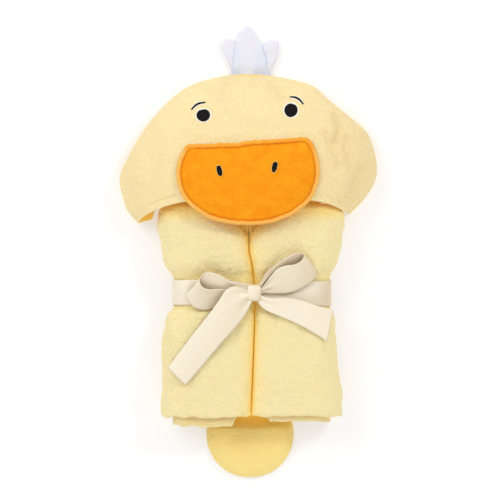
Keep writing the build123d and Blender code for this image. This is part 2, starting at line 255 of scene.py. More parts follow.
def pillow(name, outline, centre, top, low, material, rings=22, shares=None):
    """A closed padded form over an outline.

    top(x, y, d) and low(x, y, d) give its heights, d in from its edge; shares give attributes in the same way.
    """
    edge, middle = np.asarray(outline, float), np.asarray(centre, float)
    count = len(edge)
    steps = 1 - (1 - np.linspace(0, 1, rings)) ** 1.7  # rings stand closer near the edge
    flat = middle + steps[1:, None, None] * (edge - middle)
    x, y = flat[..., 0], flat[..., 1]
    d = to_line(x, y, np.vstack([edge, edge[:1]]))
    d[-1] = 0
    upper = np.stack([x, y, top(x, y, d)], -1)
    lower = np.stack([x, y, low(x, y, d)], -1)[:-1][::-1]
    body = np.concatenate([upper, lower]).reshape(-1, 3)
    cx, cy, deep = middle[:1], middle[1:2], np.array([d.max()])
    caps = [(middle[0], middle[1], float(side(cx, cy, deep)[0])) for side in (top, low)]
    body_rows, tip = 2 * (rings - 1) - 1, len(body)
    last = (body_rows - 1) * count
    faces = grid_faces(body_rows, count, wrap=True)
    faces += [(c, (c + 1) % count, tip) for c in range(count)]
    faces += [(last + (c + 1) % count, last + c, tip + 1) for c in range(count)]
    depth = np.r_[np.concatenate([d, d[:-1][::-1]]).ravel(), deep, deep]
    every = np.vstack([body, caps])
    extra = {key: rule(every[:, 0], every[:, 1], depth) for key, rule in (shares or {}).items()}
    piece = add_mesh(name, every, faces, material, shares=extra)
    outward(piece)
    return piece


def ribbon(name, pairs, material, along, bow, pleat, across=16):
    """A ribbon skinned between two edges, arched across by bow and pleated by pleat near the knot."""
    pairs = np.asarray(pairs, float)
    t, w = np.linspace(0, 1, along), np.linspace(0, 1, across)[None]
    one, two = through(pairs[:, 0], t), through(pairs[:, 1], t)
    middle, side = (one + two) / 2, two - one
    normal = np.cross(np.gradient(middle, axis=0), side)
    normal /= np.linalg.norm(normal, axis=1, keepdims=True) + 1e-9
    arch = bow * np.linalg.norm(side, axis=1)[:, None] / RIBBON_WIDE * np.sin(math.pi * w)
    away = np.linalg.norm(middle[:, :2] - KNOT, axis=1)[:, None]
    arch = arch + pleat * np.exp(-((away - 9) / 13) ** 2) * np.sin(w * 13.5 + 0.6)
    body = one[:, None] * (1 - w[..., None]) + two[:, None] * w[..., None] + normal[:, None] * arch[..., None]
    run = np.r_[0, np.cumsum(np.linalg.norm(np.diff(middle, axis=0), axis=1))]
    uv = np.stack(np.broadcast_arrays(run[:, None] * MM, w * RIBBON_WIDE * MM), -1)
    return add_mesh(name, body, grid_faces(along, across), material, uv=uv)


# ---------------------------------------------------------------- materials
def node(tree, kind, settings=None, **links):
    """Add a node; settings go to its properties or sockets, links join other nodes' sockets to its inputs."""
    made = tree.nodes.new(kind)
    for key, value in (settings or {}).items():
        if isinstance(key, int) or key in made.inputs:
            made.inputs[key].default_value = value
        else:
            setattr(made, key, value)
    for key, source in links.items():
        place = int(key[1:]) if key[0] == "_" else key.replace("_", " ")
        tree.links.new(source, made.inputs[place])
    return made


def start_material(name):
    material = bpy.data.materials.new(name)
    material.use_nodes = True
    material.node_tree.nodes.clear()
    return material, material.node_tree


def end_material(tree, tone, height, distance, strength, finish, **links):
    """Join a colour and a height to the surface shader."""
    bump = node(tree, "ShaderNodeBump", {"Strength": strength, "Distance": distance}, Height=height)
    shader = node(tree, "ShaderNodeBsdfPrincipled", finish, Base_Color=tone, Normal=bump.outputs[0], **links)
    node(tree, "ShaderNodeOutputMaterial", Surface=shader.outputs[0])


def shade(linear, red=1.0, green=1.0, blue=1.0):
    """The colour with its three parts scaled."""
    return tuple(min(c * k, 1) for c, k in zip(linear, (red, green, blue)))


def rgba(linear, share=1.0):
    return (*shade(linear, share, share, share), 1)


def pile_cloth(name, main, deep, grain=0.0016, patch=0.016, contrast=0.5, bump=0.0007, rim=None, inner=0.0):
    """Cotton terry or velour: matt, with the grain of its pile and patches where the pile leans another way.

    Light goes some way into the pile, so its folds look warm instead of grey. Where the rim attribute says so,
    the cloth takes the rim colour: on the bill that is its paler rolled edge, and on the hood, the roll and the
    tail it is painted shade in creases and folds. Inner is the strength of a painted glow: in the rim colour as
    far as the rim attribute goes, or over the whole cloth in its main colour when there is no rim colour.
    Tufts are under half a millimetre wide, and are drawn 1.6 to 2 mm wide to show.
    """
    material, tree = start_material(name)
    place = node(tree, "ShaderNodeTexCoord").outputs["Object"]
    fine = node(tree, "ShaderNodeTexNoise", {"Scale": 1 / grain, "Detail": 3.0, "Roughness": 0.6}, Vector=place)
    broad = node(tree, "ShaderNodeTexNoise", {"Scale": 1 / patch, "Detail": 2.0, "Roughness": 0.5},
                 Vector=place)
    lean = node(tree, "ShaderNodeMath", {"operation": "MULTIPLY_ADD", 1: 0.45, 2: 0.0}, _0=fine.outputs[0])
    both = node(tree, "ShaderNodeMath", {"operation": "MULTIPLY_ADD", 1: 0.55}, _0=broad.outputs[0],
                _2=lean.outputs[0])
    reach = 0.18 / contrast
    ramp = node(tree, "ShaderNodeMapRange", {"From Min": 0.5 - reach, "From Max": 0.5 + reach},
                Value=both.outputs[0])
    tone = node(tree, "ShaderNodeMix", {"data_type": "RGBA", 6: rgba(deep), 7: rgba(main)},
                _0=ramp.outputs[0]).outputs[2]
    lit = {}
    # Rim colour: the bill's paler rolled edge, and painted shade in the creases and folds of the hood, the roll
    # and the tail.
    if rim:
        share = node(tree, "ShaderNodeAttribute", {"attribute_name": "rim"}).outputs["Fac"]
        tone = node(tree, "ShaderNodeMix", {"data_type": "RGBA", 7: rgba(rim)}, _0=share, _6=tone).outputs[2]
        # Painted glow in the rim colour, as far as the rim attribute goes.
        if inner:
            glow = node(tree, "ShaderNodeMix", {"data_type": "RGBA", 6: (0, 0, 0, 1), 7: rgba(rim)}, _0=share)
            lit["Emission_Color"] = glow.outputs[2]
    tufts = node(tree, "ShaderNodeTexNoise", {"Scale": 0.4 / grain, "Detail": 2.0}, Vector=place)
    relief = node(tree, "ShaderNodeMath", {"operation": "ADD"}, _0=fine.outputs[0], _1=tufts.outputs[0])
    # Painted glow: with no rim colour, a constant inner makes the whole cloth glow faintly in its main colour.
    finish = {"Roughness": 0.95, "Specular IOR Level": 0.15,
              "Sheen Weight": 0.12, "Sheen Roughness": 0.45, "Sheen Tint": rgba(main),
              "Subsurface Weight": 0.22, "Subsurface Radius": (1.0, 0.5, 0.12), "Subsurface Scale": 0.009,
              "Emission Color": rgba(rim or main), "Emission Strength": inner}
    end_material(tree, tone, relief.outputs[0], bump, 0.75, finish, **lit)
    return material


RIB = 0.0018
RIB_SCALE = math.pi / 10 / RIB  # bands repeat every pi / 10 over their scale


def satin(name, main):
    """Woven polyester satin: a smooth face whose long threads shine. Its colour runs from a tan shaded copy to a
    cream lit copy by how each face turns to one fixed light: painted shade and highlight.

    The ribs across it are about 0.3 mm apart, and are drawn 1.8 mm apart to show.
    """
    material, tree = start_material(name)
    place = node(tree, "ShaderNodeUVMap", {"uv_map": "cloth"}).outputs[0]
    ribs = node(tree, "ShaderNodeTexWave", {"wave_type": "BANDS", "bands_direction": "X", "Scale": RIB_SCALE,
                                            "Distortion": 0.4, "Detail": 1.0}, Vector=place)
    slub = node(tree, "ShaderNodeTexNoise", {"Scale": 260.0, "Detail": 2.0}, Vector=place)
    # Painted shade and highlight: how each face turns to one fixed light mixes the tan and cream copies below.
    turned = node(tree, "ShaderNodeAttribute", {"attribute_name": "painted_satin_shade"}).outputs["Fac"]
    share = node(tree, "ShaderNodeMath", {"operation": "MULTIPLY_ADD", 1: 0.2}, _0=slub.outputs[0], _2=turned)
    tone = node(tree, "ShaderNodeMix", {"data_type": "RGBA", 6: (*shade(main, 0.84, 0.76, 0.64), 1),
                                        7: (*shade(main, 1.04, 1.05, 1.06), 1)}, _0=share.outputs[0])
    finish = {"Roughness": 0.34, "Anisotropic": 0.45, "Specular IOR Level": 0.5,
              "Sheen Weight": 0.1, "Sheen Roughness": 0.3,
              "Subsurface Weight": 0.1, "Subsurface Radius": (1.0, 0.7, 0.4), "Subsurface Scale": 0.002}
    end_material(tree, tone.outputs[2], ribs.outputs["Fac"], 0.00006, 0.35, finish)
    return material


def thread_finish(name, main, rough=0.62):
    """Twisted thread: a soft glint on each strand, and a twist of about 0.7 mm."""
    material, tree = start_material(name)
    place = node(tree, "ShaderNodeTexCoord").outputs["Object"]
    twist = node(tree, "ShaderNodeTexNoise", {"Scale": 1500.0, "Detail": 2.0}, Vector=place)
    tone = node(tree, "ShaderNodeMix", {"data_type": "RGBA", 6: rgba(main, 0.8), 7: rgba(main, 1.2)},
                _0=twist.outputs[0])
    end_material(tree, tone.outputs[2], twist.outputs[0], 0.0001, 0.3,
                 {"Roughness": rough, "Specular IOR Level": 0.18})
    return material


made_materials = {}


def make_materials():
    c = colours()
    made_materials.update({
        # Velour terry, its loops sheared short: matt and even. It covers the neck seam.
        "terry": pile_cloth("velour_terry_yellow", c.terry, shade(c.terry, 0.965, 0.94, 0.86), bump=0.0014),
        # The same velour on the hood, a little darker all over as painted shade, and darker again as painted
        # shade in its creases and towards its sides.
        "hood": pile_cloth("velour_terry_hood", shade(c.terry, 0.97, 0.95, 0.95),
                           shade(c.terry, 0.93, 0.885, 0.80), grain=0.002, bump=0.0022,
                           rim=shade(c.terry, 0.87, 0.81, 0.74)),
        # The same velour on the roll, with painted golden shade and a faint painted glow deep between its
        # layers.
        "towel": pile_cloth("velour_terry_towel", c.terry, shade(c.terry, 0.955, 0.925, 0.84), grain=0.002,
                            bump=0.0024, rim=shade(c.terry, 1.0, 0.86, 0.42), inner=0.10),
        # Loop terry inside the hood and on its back panel, a deeper golden yellow as painted shade, with a faint
        # painted glow all over.
        "lining": pile_cloth("loop_terry_lining", shade(c.terry, 1.04, 0.87, 0.40),
                             shade(c.terry, 1.0, 0.80, 0.30), inner=0.12),
        # Velour terry of the tail: a deeper yellow, with painted golden shade and a faint painted glow where the
        # towel shades it.
        "tail": pile_cloth("velour_terry_tail", c.tail, shade(c.tail, 0.96, 0.93, 0.82), grain=0.002,
                           bump=0.0016, rim=shade(c.tail, 1.02, 0.90, 0.46), inner=0.16),
        # Cut velour of the bill: saturated and mottled, paler where its edge is rolled.
        "bill": pile_cloth("cut_velour_orange", c.bill, shade(c.bill, 0.96, 0.78, 0.4), patch=0.011,
                           contrast=1.25, rim=c.rim, bump=0.0014),
        # Short white plush: soft and nearly without grain.
        "crest": pile_cloth("short_plush_white", c.crest, shade(c.crest, 0.95, 0.95, 0.965)),
        # Pile pressed flat beside embroidery: smoother and paler than the cloth round it.
        "pressed": pile_cloth("pressed_terry_halo", shade(c.terry, 1.08, 1.16, 1.7),
                              shade(c.terry, 1.06, 1.12, 1.5), bump=0.0002),
        "pressed_bill": pile_cloth("pressed_velour_halo", shade(c.rim, 1.05, 1.12, 1.6), c.rim, bump=0.0002),
        "satin": satin("woven_satin_cream", c.satin),
        # Rayon embroidery thread, near black, with a soft glint; matt polyester sewing thread in two colours.
        "dark": thread_finish("rayon_thread_dark", c.dark),
        "orange_thread": thread_finish("polyester_thread_orange", shade(c.bill, 0.68, 0.42, 0.8), 0.7),
        "yellow_thread": thread_finish("polyester_thread_yellow", shade(c.terry, 0.97, 0.92, 0.75), 0.7),
    })


def finish_of(key):
    """The material of that kind."""
    if not made_materials:
        make_materials()
    return made_materials[key]


# ---------------------------------------------------------------- geometry nodes
def new_tree(name, inputs):
    """A geometry tree with a mesh input and named number inputs: (name, default)."""
    tree = bpy.data.node_groups.new(name, "GeometryNodeTree")
    face = tree.interface
    face.new_socket("Geometry", in_out="INPUT", socket_type="NodeSocketGeometry")
    ids = {}
    for label, kind, value in inputs:
        socket = face.new_socket(label, in_out="INPUT", socket_type=kind)
        if value is not None:
            socket.default_value = value
        ids[label] = socket.identifier
    face.new_socket("Geometry", in_out="OUTPUT", socket_type="NodeSocketGeometry")
    return tree, ids


def close_tree(tree, shape, material):
    """End a tree in Realize Instances and Set Material."""
    real = node(tree, "GeometryNodeRealizeInstances", Geometry=shape)
    coat = node(tree, "GeometryNodeSetMaterial", Geometry=real.outputs[0], Material=material)
    node(tree, "NodeGroupOutput", Geometry=coat.outputs[0])


def thread_tree():
    """Every line of the input becomes one strand of thread."""
    tree, ids = new_tree("strands", [("Radius", "NodeSocketFloat", 0.0003),
                                     ("Finish", "NodeSocketMaterial", None)])
    given = node(tree, "NodeGroupInput")
    lines = node(tree, "GeometryNodeMeshToCurve", Mesh=given.outputs["Geometry"])
    ring = node(tree, "GeometryNodeCurvePrimitiveCircle", {"Resolution": 6}, Radius=given.outputs["Radius"])
    tube = node(tree, "GeometryNodeCurveToMesh", {"Fill Caps": True}, Curve=lines.outputs[0],
                Profile_Curve=ring.outputs[0])
    close_tree(tree, tube.outputs[0], given.outputs["Finish"])
    return tree, ids


def stitch_tree():
    """Stitches set end to end along the lines of the input."""
    tree, ids = new_tree("stitch_row", [("Pitch", "NodeSocketFloat", 0.0028),
                                        ("Radius", "NodeSocketFloat", 0.0004),
                                        ("Finish", "NodeSocketMaterial", None)])
    given = node(tree, "NodeGroupInput")
    lines = node(tree, "GeometryNodeMeshToCurve", Mesh=given.outputs["Geometry"])
    points = node(tree, "GeometryNodeResampleCurve", {"mode": "LENGTH"}, Curve=lines.outputs[0],
                  Length=given.outputs["Pitch"])
    grain = node(tree, "GeometryNodeMeshUVSphere", {"Segments": 6, "Rings": 5, "Radius": 1.0})
    long = node(tree, "ShaderNodeMath", {"operation": "MULTIPLY", 1: 0.42}, _0=given.outputs["Pitch"])
    size = node(tree, "ShaderNodeCombineXYZ", X=given.outputs["Radius"], Y=given.outputs["Radius"],
                Z=long.outputs[0])
    tangent = node(tree, "GeometryNodeInputTangent")
    turn = node(tree, "FunctionNodeAlignRotationToVector", {"axis": "Z"}, Vector=tangent.outputs[0])
    placed = node(tree, "GeometryNodeInstanceOnPoints", Points=points.outputs[0], Instance=grain.outputs[0],
                  Rotation=turn.outputs[0], Scale=size.outputs[0])
    close_tree(tree, placed.outputs[0], given.outputs["Finish"])
    return tree, ids


made_trees = {}


def sew(name, lines, maker, material, **values):
    """Run a thread tree over lines of points in millimetres and keep the result as a plain mesh."""
    points, edges = [], []
    for line in lines:
        first = len(points)
        points += [tuple(p) for p in line]
        edges += [(i, i + 1) for i in range(first, len(points) - 1)]
    piece = add_mesh(name, points, [], material, edges=edges)
    if maker not in made_trees:
        made_trees[maker] = maker()
    tree, ids = made_trees[maker]
    work = piece.modifiers.new("threads", "NODES")
    work.node_group = tree
    work[ids["Finish"]] = material
    for label, value in values.items():
        work[ids[label]] = value
    settle(piece)
    piece.data.shade_smooth()
    return piece


# ---------------------------------------------------------------- the rolled towel
ROLL_HALF, ROLL_THICK, LAYER = 88.0, 45.6, 3.8
TURN_X, PASS = ROLL_HALF - ROLL_THICK / 2, ROLL_THICK / 8
BUNDLE_TOP, BUNDLE_BOTTOM, WAIST = 46.0, -163.0, -41.0
STATIONS = np.array([  # y, middle x, half width, thickness, lift
    (-163, 3.5, 90.5, 45, 2.6), (-138, 3.5, 90, 48, 0), (-95, 2, 86, 48, 0), (-66, 2.5, 84, 45, 0),
    (-55.2, 4, 78, 39, 1.4), (-26.8, 4, 78, 39, 1.4), (-12, 1.5, 87, 46, 0), (12, 0.5, 93, 48, 0),
    (29, 0.5, 95, 47, 0), (46, 0.5, 80, 42, 0)])
middle_at, half_at, thick_at, lift_at = (profile(STATIONS[:, 0], STATIONS[:, k]) for k in (1, 2, 3, 4))
SEAM_LINE = np.array([  # y, x of the line where the two halves meet in front
    (-163, 3), (-138, 4), (-115, 5), (-91, 6), (-52, 7), (-33, 6.5), (-8, 4), (12, 1), (46, 0.5)])
FRONT_TURN_X, HEM_X = 11.35, 17.0  # where the cloth turns in at the front, and where its inner hem ends
FOLD_TURN = LAYER / 2
HEM_REACH = {-1: 10.0, 1: 6.5}  # how far the inner hem stands out below the left and right halves


def roll_path():
    """One side of the roll, from the middle of the back to its inner hem: x, z, normal x, normal z, pass."""
    rows = []

    def straight(x0, x1, z, count, up, number):
        rows.extend((x, z, 0, up, number) for x in np.linspace(x0, x1, count, endpoint=False))

    def turn(x, z, radius, a0, a1, count, out, number):
        for i, a in enumerate(np.radians(np.linspace(a0, a1, count, endpoint=False))):
            rows.append((x + radius * math.cos(a), z + radius * math.sin(a), out * math.cos(a),
                         out * math.sin(a), number + i / count))

    low, middle = PASS, ROLL_THICK / 2
    straight(0, TURN_X, low, 12, -1, 0)
    turn(TURN_X, middle, middle - low, -90, 90, 22, 1, 0)
    straight(TURN_X, FRONT_TURN_X, 7 * PASS, 30, 1, 1)
    turn(FRONT_TURN_X, 6 * PASS, PASS, 90, 270, 14, 1, 1)
    straight(FRONT_TURN_X, TURN_X, 5 * PASS, 22, -1, 2)
    turn(TURN_X, middle, PASS, 90, -90, 10, -1, 2)
    straight(TURN_X, HEM_X, 3 * PASS, 12, 1, 3)
    rows.append((HEM_X, 3 * PASS, 0, 1, 3))
    return np.array(rows)


def fold_path():
    """Along the cloth: layer 1 from neck to bottom, up again as layer 2, down again as layer 3 to its hem.

    Each row is y, the distance from the middle layer, and the share of the hem's reach.
    """
    top, low = BUNDLE_TOP - FOLD_TURN, BUNDLE_BOTTOM + FOLD_TURN
    bend = np.linspace(0, math.pi, 7)[:-1]
    rows = [(y, LAYER, 0) for y in np.linspace(BUNDLE_TOP, low, 76, endpoint=False)]
    rows += [(low - FOLD_TURN * math.sin(a), FOLD_TURN + FOLD_TURN * math.cos(a), 0) for a in bend]
    rows += [(y, 0, 0) for y in np.linspace(low, top, 16, endpoint=False)]
    rows += [(top + FOLD_TURN * math.sin(a), FOLD_TURN * math.cos(a) - FOLD_TURN, 0) for a in bend]
    ends = zip(np.linspace(top, BUNDLE_BOTTOM, 20), np.linspace(0, 1, 20) ** 4)
    rows += [(y, -LAYER, share) for y, share in ends]
    return np.array(rows)


def place_in_roll(x, z, side, y):
    """From the roll's own section to its place: scaled to the stations, opened at the neck and softened."""
    spot = side * x
    across = np.clip(np.abs(x) / ROLL_HALF, 0, 1.05)
    front, upper, flank = ease(z, 10, 27), ease(z, 12, 40), ease(across, 0.72, 1.0)
    tied = ease(np.abs(y - WAIST), 13.2, 23)

    # The neck opens in a V, and the bottom edge waves a little.
    neck = np.clip((y + 30) / 76, 0, 1) ** 1.5
    drop = 34 * np.clip(1 - across, 0, 1) ** 3.2 * neck * (0.45 * ease(z, 10, 20) + 0.55 * ease(z, 33, 36))
    low = np.clip((-y - 60) / 103, 0, 1) ** 2
    edge = (1.3 * ripples(spot, y * 0 + 3, 42, 5) + 0.6 * ripples(spot, y * 0, 15, 6)) * low * front
    new_y = y - drop + edge

    # The flanks follow the stations, with full shoulders under the hood.
    cad_y = np.clip(y, BUNDLE_BOTTOM, BUNDLE_TOP)
    shoulder = 9.5 * ease(y, 28, 42)
    left_only = (4.5 * ease(y, -22, 2) - 2.0 * np.exp(-((y + 90) / 25) ** 2)) * (side < 0)
    grow = (half_at(cad_y) + (shoulder - left_only) * ease(across, 0.5, 1)) / ROLL_HALF
    seam = np.interp(y, SEAM_LINE[:, 0], SEAM_LINE[:, 1]) - middle_at(cad_y)
    uneven = 0.8 if side > 0 else 0.4
    waves = 0.9 * ripples(y, side * 40.0 + z * 0.2, 26, 17) + uneven * ripples(y, z * 0.3, 13, 18)
    new_x = middle_at(cad_y) + spot * grow + seam * front * np.clip(1 - across, 0, 1)
    new_x = new_x + side * flank * waves * tied

    # The top is softly uneven, puckered by the ribbon, and the front hem stands up.
    soft = 1.5 * ripples(spot, y, 60, 11) + 0.55 * ripples(spot, y, 22, 12) + 0.22 * ripples(spot, y, 9, 13)
    near = np.exp(-((np.abs(y - WAIST) - 17) / 10) ** 2)
    soft = soft + 1.7 * near * np.sin(spot / 4.6 + 0.8 * ripples(spot, y, 30, 14))
    crown = 1.2 * np.sin(np.pi * np.clip(across * 1.1, 0, 1)) * tied
    new_z = lift_at(cad_y) + z * thick_at(cad_y) / ROLL_THICK
    new_z = new_z + (soft * sizes().wrinkle / MM * tied + crown) * upper
    new_z = new_z + 5.0 * ease(-new_y, 162, 169) * ease(z, 24, 30) * (z < 37)
    return np.stack([new_x, new_y, new_z], -1)


def make_towel():
    """The towel as one cloth: folded in three along its length and rolled in from both sides."""
    path, fold = roll_path(), fold_path()
    halves = []
    for side in (-1, 1):
        x = path[:, 0][None] + path[:, 2][None] * fold[:, 1][:, None]
        z = path[:, 1][None] + path[:, 3][None] * fold[:, 1][:, None]
        shown = ease(path[:, 4], 1.9, 1.95) * np.where(path[:, 4] < 2.5, ease(path[:, 0], 14, 19), 1)
        reach = HEM_REACH[side] * shown - 7 * (1 - ease(path[:, 4], 1.8, 1.9))
        y = fold[:, 0][:, None] - fold[:, 2][:, None] * reach[None]
        halves.append(place_in_roll(x, z, side, y))
    left, right = halves
    body = np.concatenate([left[:, ::-1], right[:, 1:]], 1)
    body[:, left.shape[1] - 1] = (left[:, 0] + right[:, 0]) / 2
    # Painted golden shade with a faint painted glow: the cloth deep in the folds, under the hood, beside the
    # ribbon and along the seam is drawn more golden, as light gathers colour between the layers.
    deep = ease(path[:, 4], 1.16, 1.5)[None] * np.where(fold[:, 2] > 0.4, 0.15, 1.0)[:, None]
    deep = np.maximum(deep, 0.75 * ease(fold[:, 0], 27, 42)[:, None])
    by_ribbon = 0.34 * np.exp(-((np.abs(fold[:, 0] - WAIST) - 13) / 6.5) ** 2)[:, None]
    by_seam = np.exp(-((path[:, 0] - 2) / 11) ** 2)[None] * np.where(path[:, 4] < 0.9, 1.0, 0.3)
    deep = np.clip(deep + by_ribbon + by_seam, 0, 1)
    deep = np.concatenate([deep[:, ::-1], deep[:, 1:]], 1)
    piece = add_mesh("rolled_towel", body, grid_faces(*body.shape[:2]), finish_of("towel"),
                     shares={"rim": deep})
    thicken(piece, sizes().cloth)
    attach(piece, "bundle")
    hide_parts("towel_back_layers", *(f"towel_{word}_{part}" for word in ("left", "right")
                                              for part in ("side_fold", "front_flap", "inner_fold", "hem")))

    # One row of stitches under the neck edge and one along the inner hem, on each half.
    lines = []
    for side in (-1, 1):
        x = np.linspace(84, 4, 60)
        lines.append(place_in_roll(x, np.full(60, ROLL_THICK + 0.1), side, np.full(60, BUNDLE_TOP - 7)))
        x = np.linspace(66, 21, 34)
        hem_z, hem_y = 5 * PASS + LAYER + 1.7, BUNDLE_BOTTOM - HEM_REACH[side] + 3
        lines.append(place_in_roll(x, np.full(34, hem_z), side, np.full(34, hem_y)))
    stitches = sew("towel_hem_stitches", lines, stitch_tree, finish_of("yellow_thread"),
                   Pitch=sizes().stitch, Radius=0.00032)
    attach(stitches, "bundle")


# ---------------------------------------------------------------- the hood
HOOD_TALL, HOOD_WIDE, SIDE_RISE, CROWN_Y = 60.5, 128.0, 5.0, 177.0
HOOD_ROWS = np.array([  # y, left share, right share, height share
    (18, 0.76, 0.64, 0.94), (38, 0.925, 0.79, 0.96), (54, 0.975, 0.915, 0.985), (74, 1, 1, 1),
    (95, 0.935, 0.995, 0.975), (115, 0.845, 0.945, 0.905), (124, 0.795, 0.892, 0.845), (135, 0.73, 0.79, 0.765),
    (152, 0.6, 0.625, 0.58),
    (166, 0.44, 0.49, 0.33), (175, 0.19, 0.2, 0.11), (177.6, 0.02, 0.02, 0.085)])
left_half, right_half, tall_at = (profile(HOOD_ROWS[:, 0], HOOD_ROWS[:, k] * size)
                                  for k, size in ((1, HOOD_WIDE), (2, HOOD_WIDE), (3, HOOD_TALL)))
RIM = [(-109, 29.3), (-103, 35.2), (-90, 41.6), (-72, 47.3), (-40, 52.6), (-2, 55), (40, 53.6), (63, 50.6),
       (81.6, 46.5), (95, 40.4), (101, 38)]
SOFT_FOLDS = [([(86, 136), (90, 123), (87, 109)], 4.2, 3.6), ([(78, 118), (83, 103), (89, 86)], 2.8, 4.2),
              ([(98, 113), (96, 99), (100, 84)], 2.4, 3.8),
              ([(-88, 112), (-93, 96), (-90, 80)], 1.2, 7.0), ([(112, 84), (104, 66), (100, 52)], 2.6, 4.5),
              ([(22, 168), (30, 160), (33, 152)], 2.6, 4.0), ([(-20, 170), (-26, 160), (-30, 150)], 1.4, 4.5)]


def hood_top(x, y):
    """Height of the hood's outer face."""
    x, y = np.asarray(x, float), np.asarray(y, float)
    half = np.where(x < 0, left_half(y), right_half(y))
    u = np.clip(np.abs(x) / half, 0, 1)
    rise = np.sqrt(1 - u ** 3.2)
    z = SIDE_RISE + np.maximum(tall_at(y) - SIDE_RISE, 0) * rise
    swell = sizes().wrinkle / MM
    soft = 1.1 * ripples(x, y, 75, 21) + 0.45 * ripples(x, y, 26, 22) + 0.18 * ripples(x, y, 10, 23)
    for line, deep, wide in SOFT_FOLDS:
        soft = soft - deep / swell * np.exp(-(to_line(x, y, line) / wide) ** 2)
    return z + soft * swell * rise


def rim_arc(count):
    """The hood's front rim."""
    return evenly(RIM, count)


def hood_outline(count):
    """The hood's sewn edge, from the left end of the rim over the crown to the right end."""
    rise = np.linspace(RIM[0][1], CROWN_Y, 120)
    fall = np.linspace(CROWN_Y, RIM[-1][1], 120)
    line = np.vstack([np.stack([-left_half(rise), rise], 1), np.stack([right_half(fall), fall], 1)])
    return evenly(line, count, smooth=False)


HOOD_CLOTH, NECK_CLOTH = 0.003, 0.0016  # thickness of the hood's panels and of the band at its neck
NECK_HALF, NECK_FROM, NECK_TO = 73.0, 44.6, 50.5
HEM_STITCH = 8.5  # distance of the hem's stitches from the rim


def make_hood():
    """The hood's puffed face, its flat back, the band at its neck and the stitches of its hem."""
    cols, rows = 190, 84
    edge, rim = hood_outline(cols), rim_arc(cols)
    t = 1 - (1 - np.linspace(0, 1, rows)) ** 1.5
    plan = rim[None] * (1 - t[:, None, None]) + edge[None] * t[:, None, None]
    x, y = plan[..., 0], plan[..., 1]
    z = hood_top(x, y)
    from_rim = np.linalg.norm(plan - rim[None], axis=-1)
    z = z - 0.8 * np.exp(-((from_rim - HEM_STITCH) / 1.1) ** 2) * ease(z, 12, 20)
    z = z + 0.5 * np.exp(-((from_rim - 1.5) / 2.5) ** 2) * ease(z, 12, 20)
    body = np.stack([x, y, z], -1)
    # Painted shade: darker towards the hood's sides, most on the right, and along its soft folds.
    painted_hood_shade = 0.45 * ease(x, 62, 122) + 0.3 * ease(-x, 92, 128)
    for line, deep, wide in SOFT_FOLDS:
        painted_hood_shade = painted_hood_shade + 0.22 * deep * np.exp(-(to_line(x, y, line) / (wide * 1.2)) ** 2)
    front = add_mesh("hood_face", body, grid_faces(rows, cols), finish_of("hood"),
                     shares={"rim": np.clip(painted_hood_shade, 0, 1)})
    thicken(front, HOOD_CLOTH, offset=-1, inside=finish_of("lining"))
    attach(front, "hood")
    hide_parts("hood_front_panel", "hood_rim_hem")

    # The back panel lies on the floor and its sewn edge turns up to the front's.
    corner = [(-109, 29.3), (-103, 30.4), (-97.4, 31.6), (-94.4, 36), (-93, 48.4)]
    wing = evenly(corner, 12)
    far_wing = evenly([(101, 38), (99.4, 40), (98, 44), (97, 48.4)], 12)
    floor_line = np.stack([np.linspace(-93, 97, cols - 22), np.full(cols - 22, 48.4)], 1)
    start = np.vstack([wing[:-1], floor_line, far_wing[::-1][1:]])
    t = 1 - (1 - np.linspace(0, 1, 26)) ** 1.5
    plan = start[None] * (1 - t[:, None, None]) + (edge * [0.996, 1.0])[None] * t[:, None, None]
    x, y = plan[..., 0], plan[..., 1]
    turned = np.linalg.norm(plan - edge[None], axis=-1)
    z = 1.75 + 2.4 * np.exp(-(turned / 3.5) ** 2) + 0.25 * ripples(x, y, 34, 31) * (turned > 6)
    z = np.maximum(z, 1.7)
    back = add_mesh("hood_back", np.stack([x, y, z], -1), grid_faces(26, cols), finish_of("lining"))
    thicken(back, HOOD_CLOTH)
    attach(back, "hood")
    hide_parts("hood_back_panel")

    # A narrow band of cloth carries the neck seam over its fold.
    x = np.linspace(-NECK_HALF, NECK_HALF, 60)
    y = np.linspace(NECK_FROM, NECK_TO, 9)
    gx, gy = np.meshgrid(x, y)
    gz = 1.25 + 0.5 * np.exp(-((gy - 46.9) / 1.2) ** 2)
    neck = add_mesh("neck_band", np.stack([gx, gy, gz], -1), grid_faces(9, 60), finish_of("terry"))
    thicken(neck, NECK_CLOTH)
    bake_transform(neck)
    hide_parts("neck_seam")

    inner = rim_arc(170) + np.array([0, HEM_STITCH])
    keep = inner[np.abs(inner[:, 0]) < 92]
    row = np.c_[keep, hood_top(keep[:, 0], keep[:, 1]) - 0.25]
    stitches = sew("hood_hem_stitches", [row], stitch_tree, finish_of("yellow_thread"),
                   Pitch=sizes().stitch, Radius=0.0003)
    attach(stitches, "hood")


# ---------------------------------------------------------------- the bill
BILL_EDGE = [(57, 113.2), (64.2, 107), (69, 96), (71.2, 82), (70, 68), (62, 51), (49, 39.5), (34, 31.5),
             (17, 27), (1, 25.8), (-15, 26.6), (-31, 30), (-46, 36.5), (-60, 48), (-67.5, 59), (-71, 72),
             (-70.5, 85), (-66.5, 97), (-61.5, 104.5), (-57, 106), (-40, 106.6), (-28, 107.4), (-14, 107.6),
             (-2, 109.4), (14, 110.5), (30, 111.4), (44, 112.5)]
BILL_CENTRE = (0.0, 72.0)
BILL_STITCH = 4.8


def bill_outline():
    """The bill's edge, a little uneven where the pile is caught in its seam."""
    edge = evenly(BILL_EDGE, 220, closed=True)
    uneven = 0.35 * ripples(edge[:, 0], edge[:, 1], 7, 43) + 0.25 * ripples(edge[:, 0], edge[:, 1], 3.4, 44)
    away = edge - np.array(BILL_CENTRE)
    return edge + away / np.linalg.norm(away, axis=1, keepdims=True) * uneven[:, None]


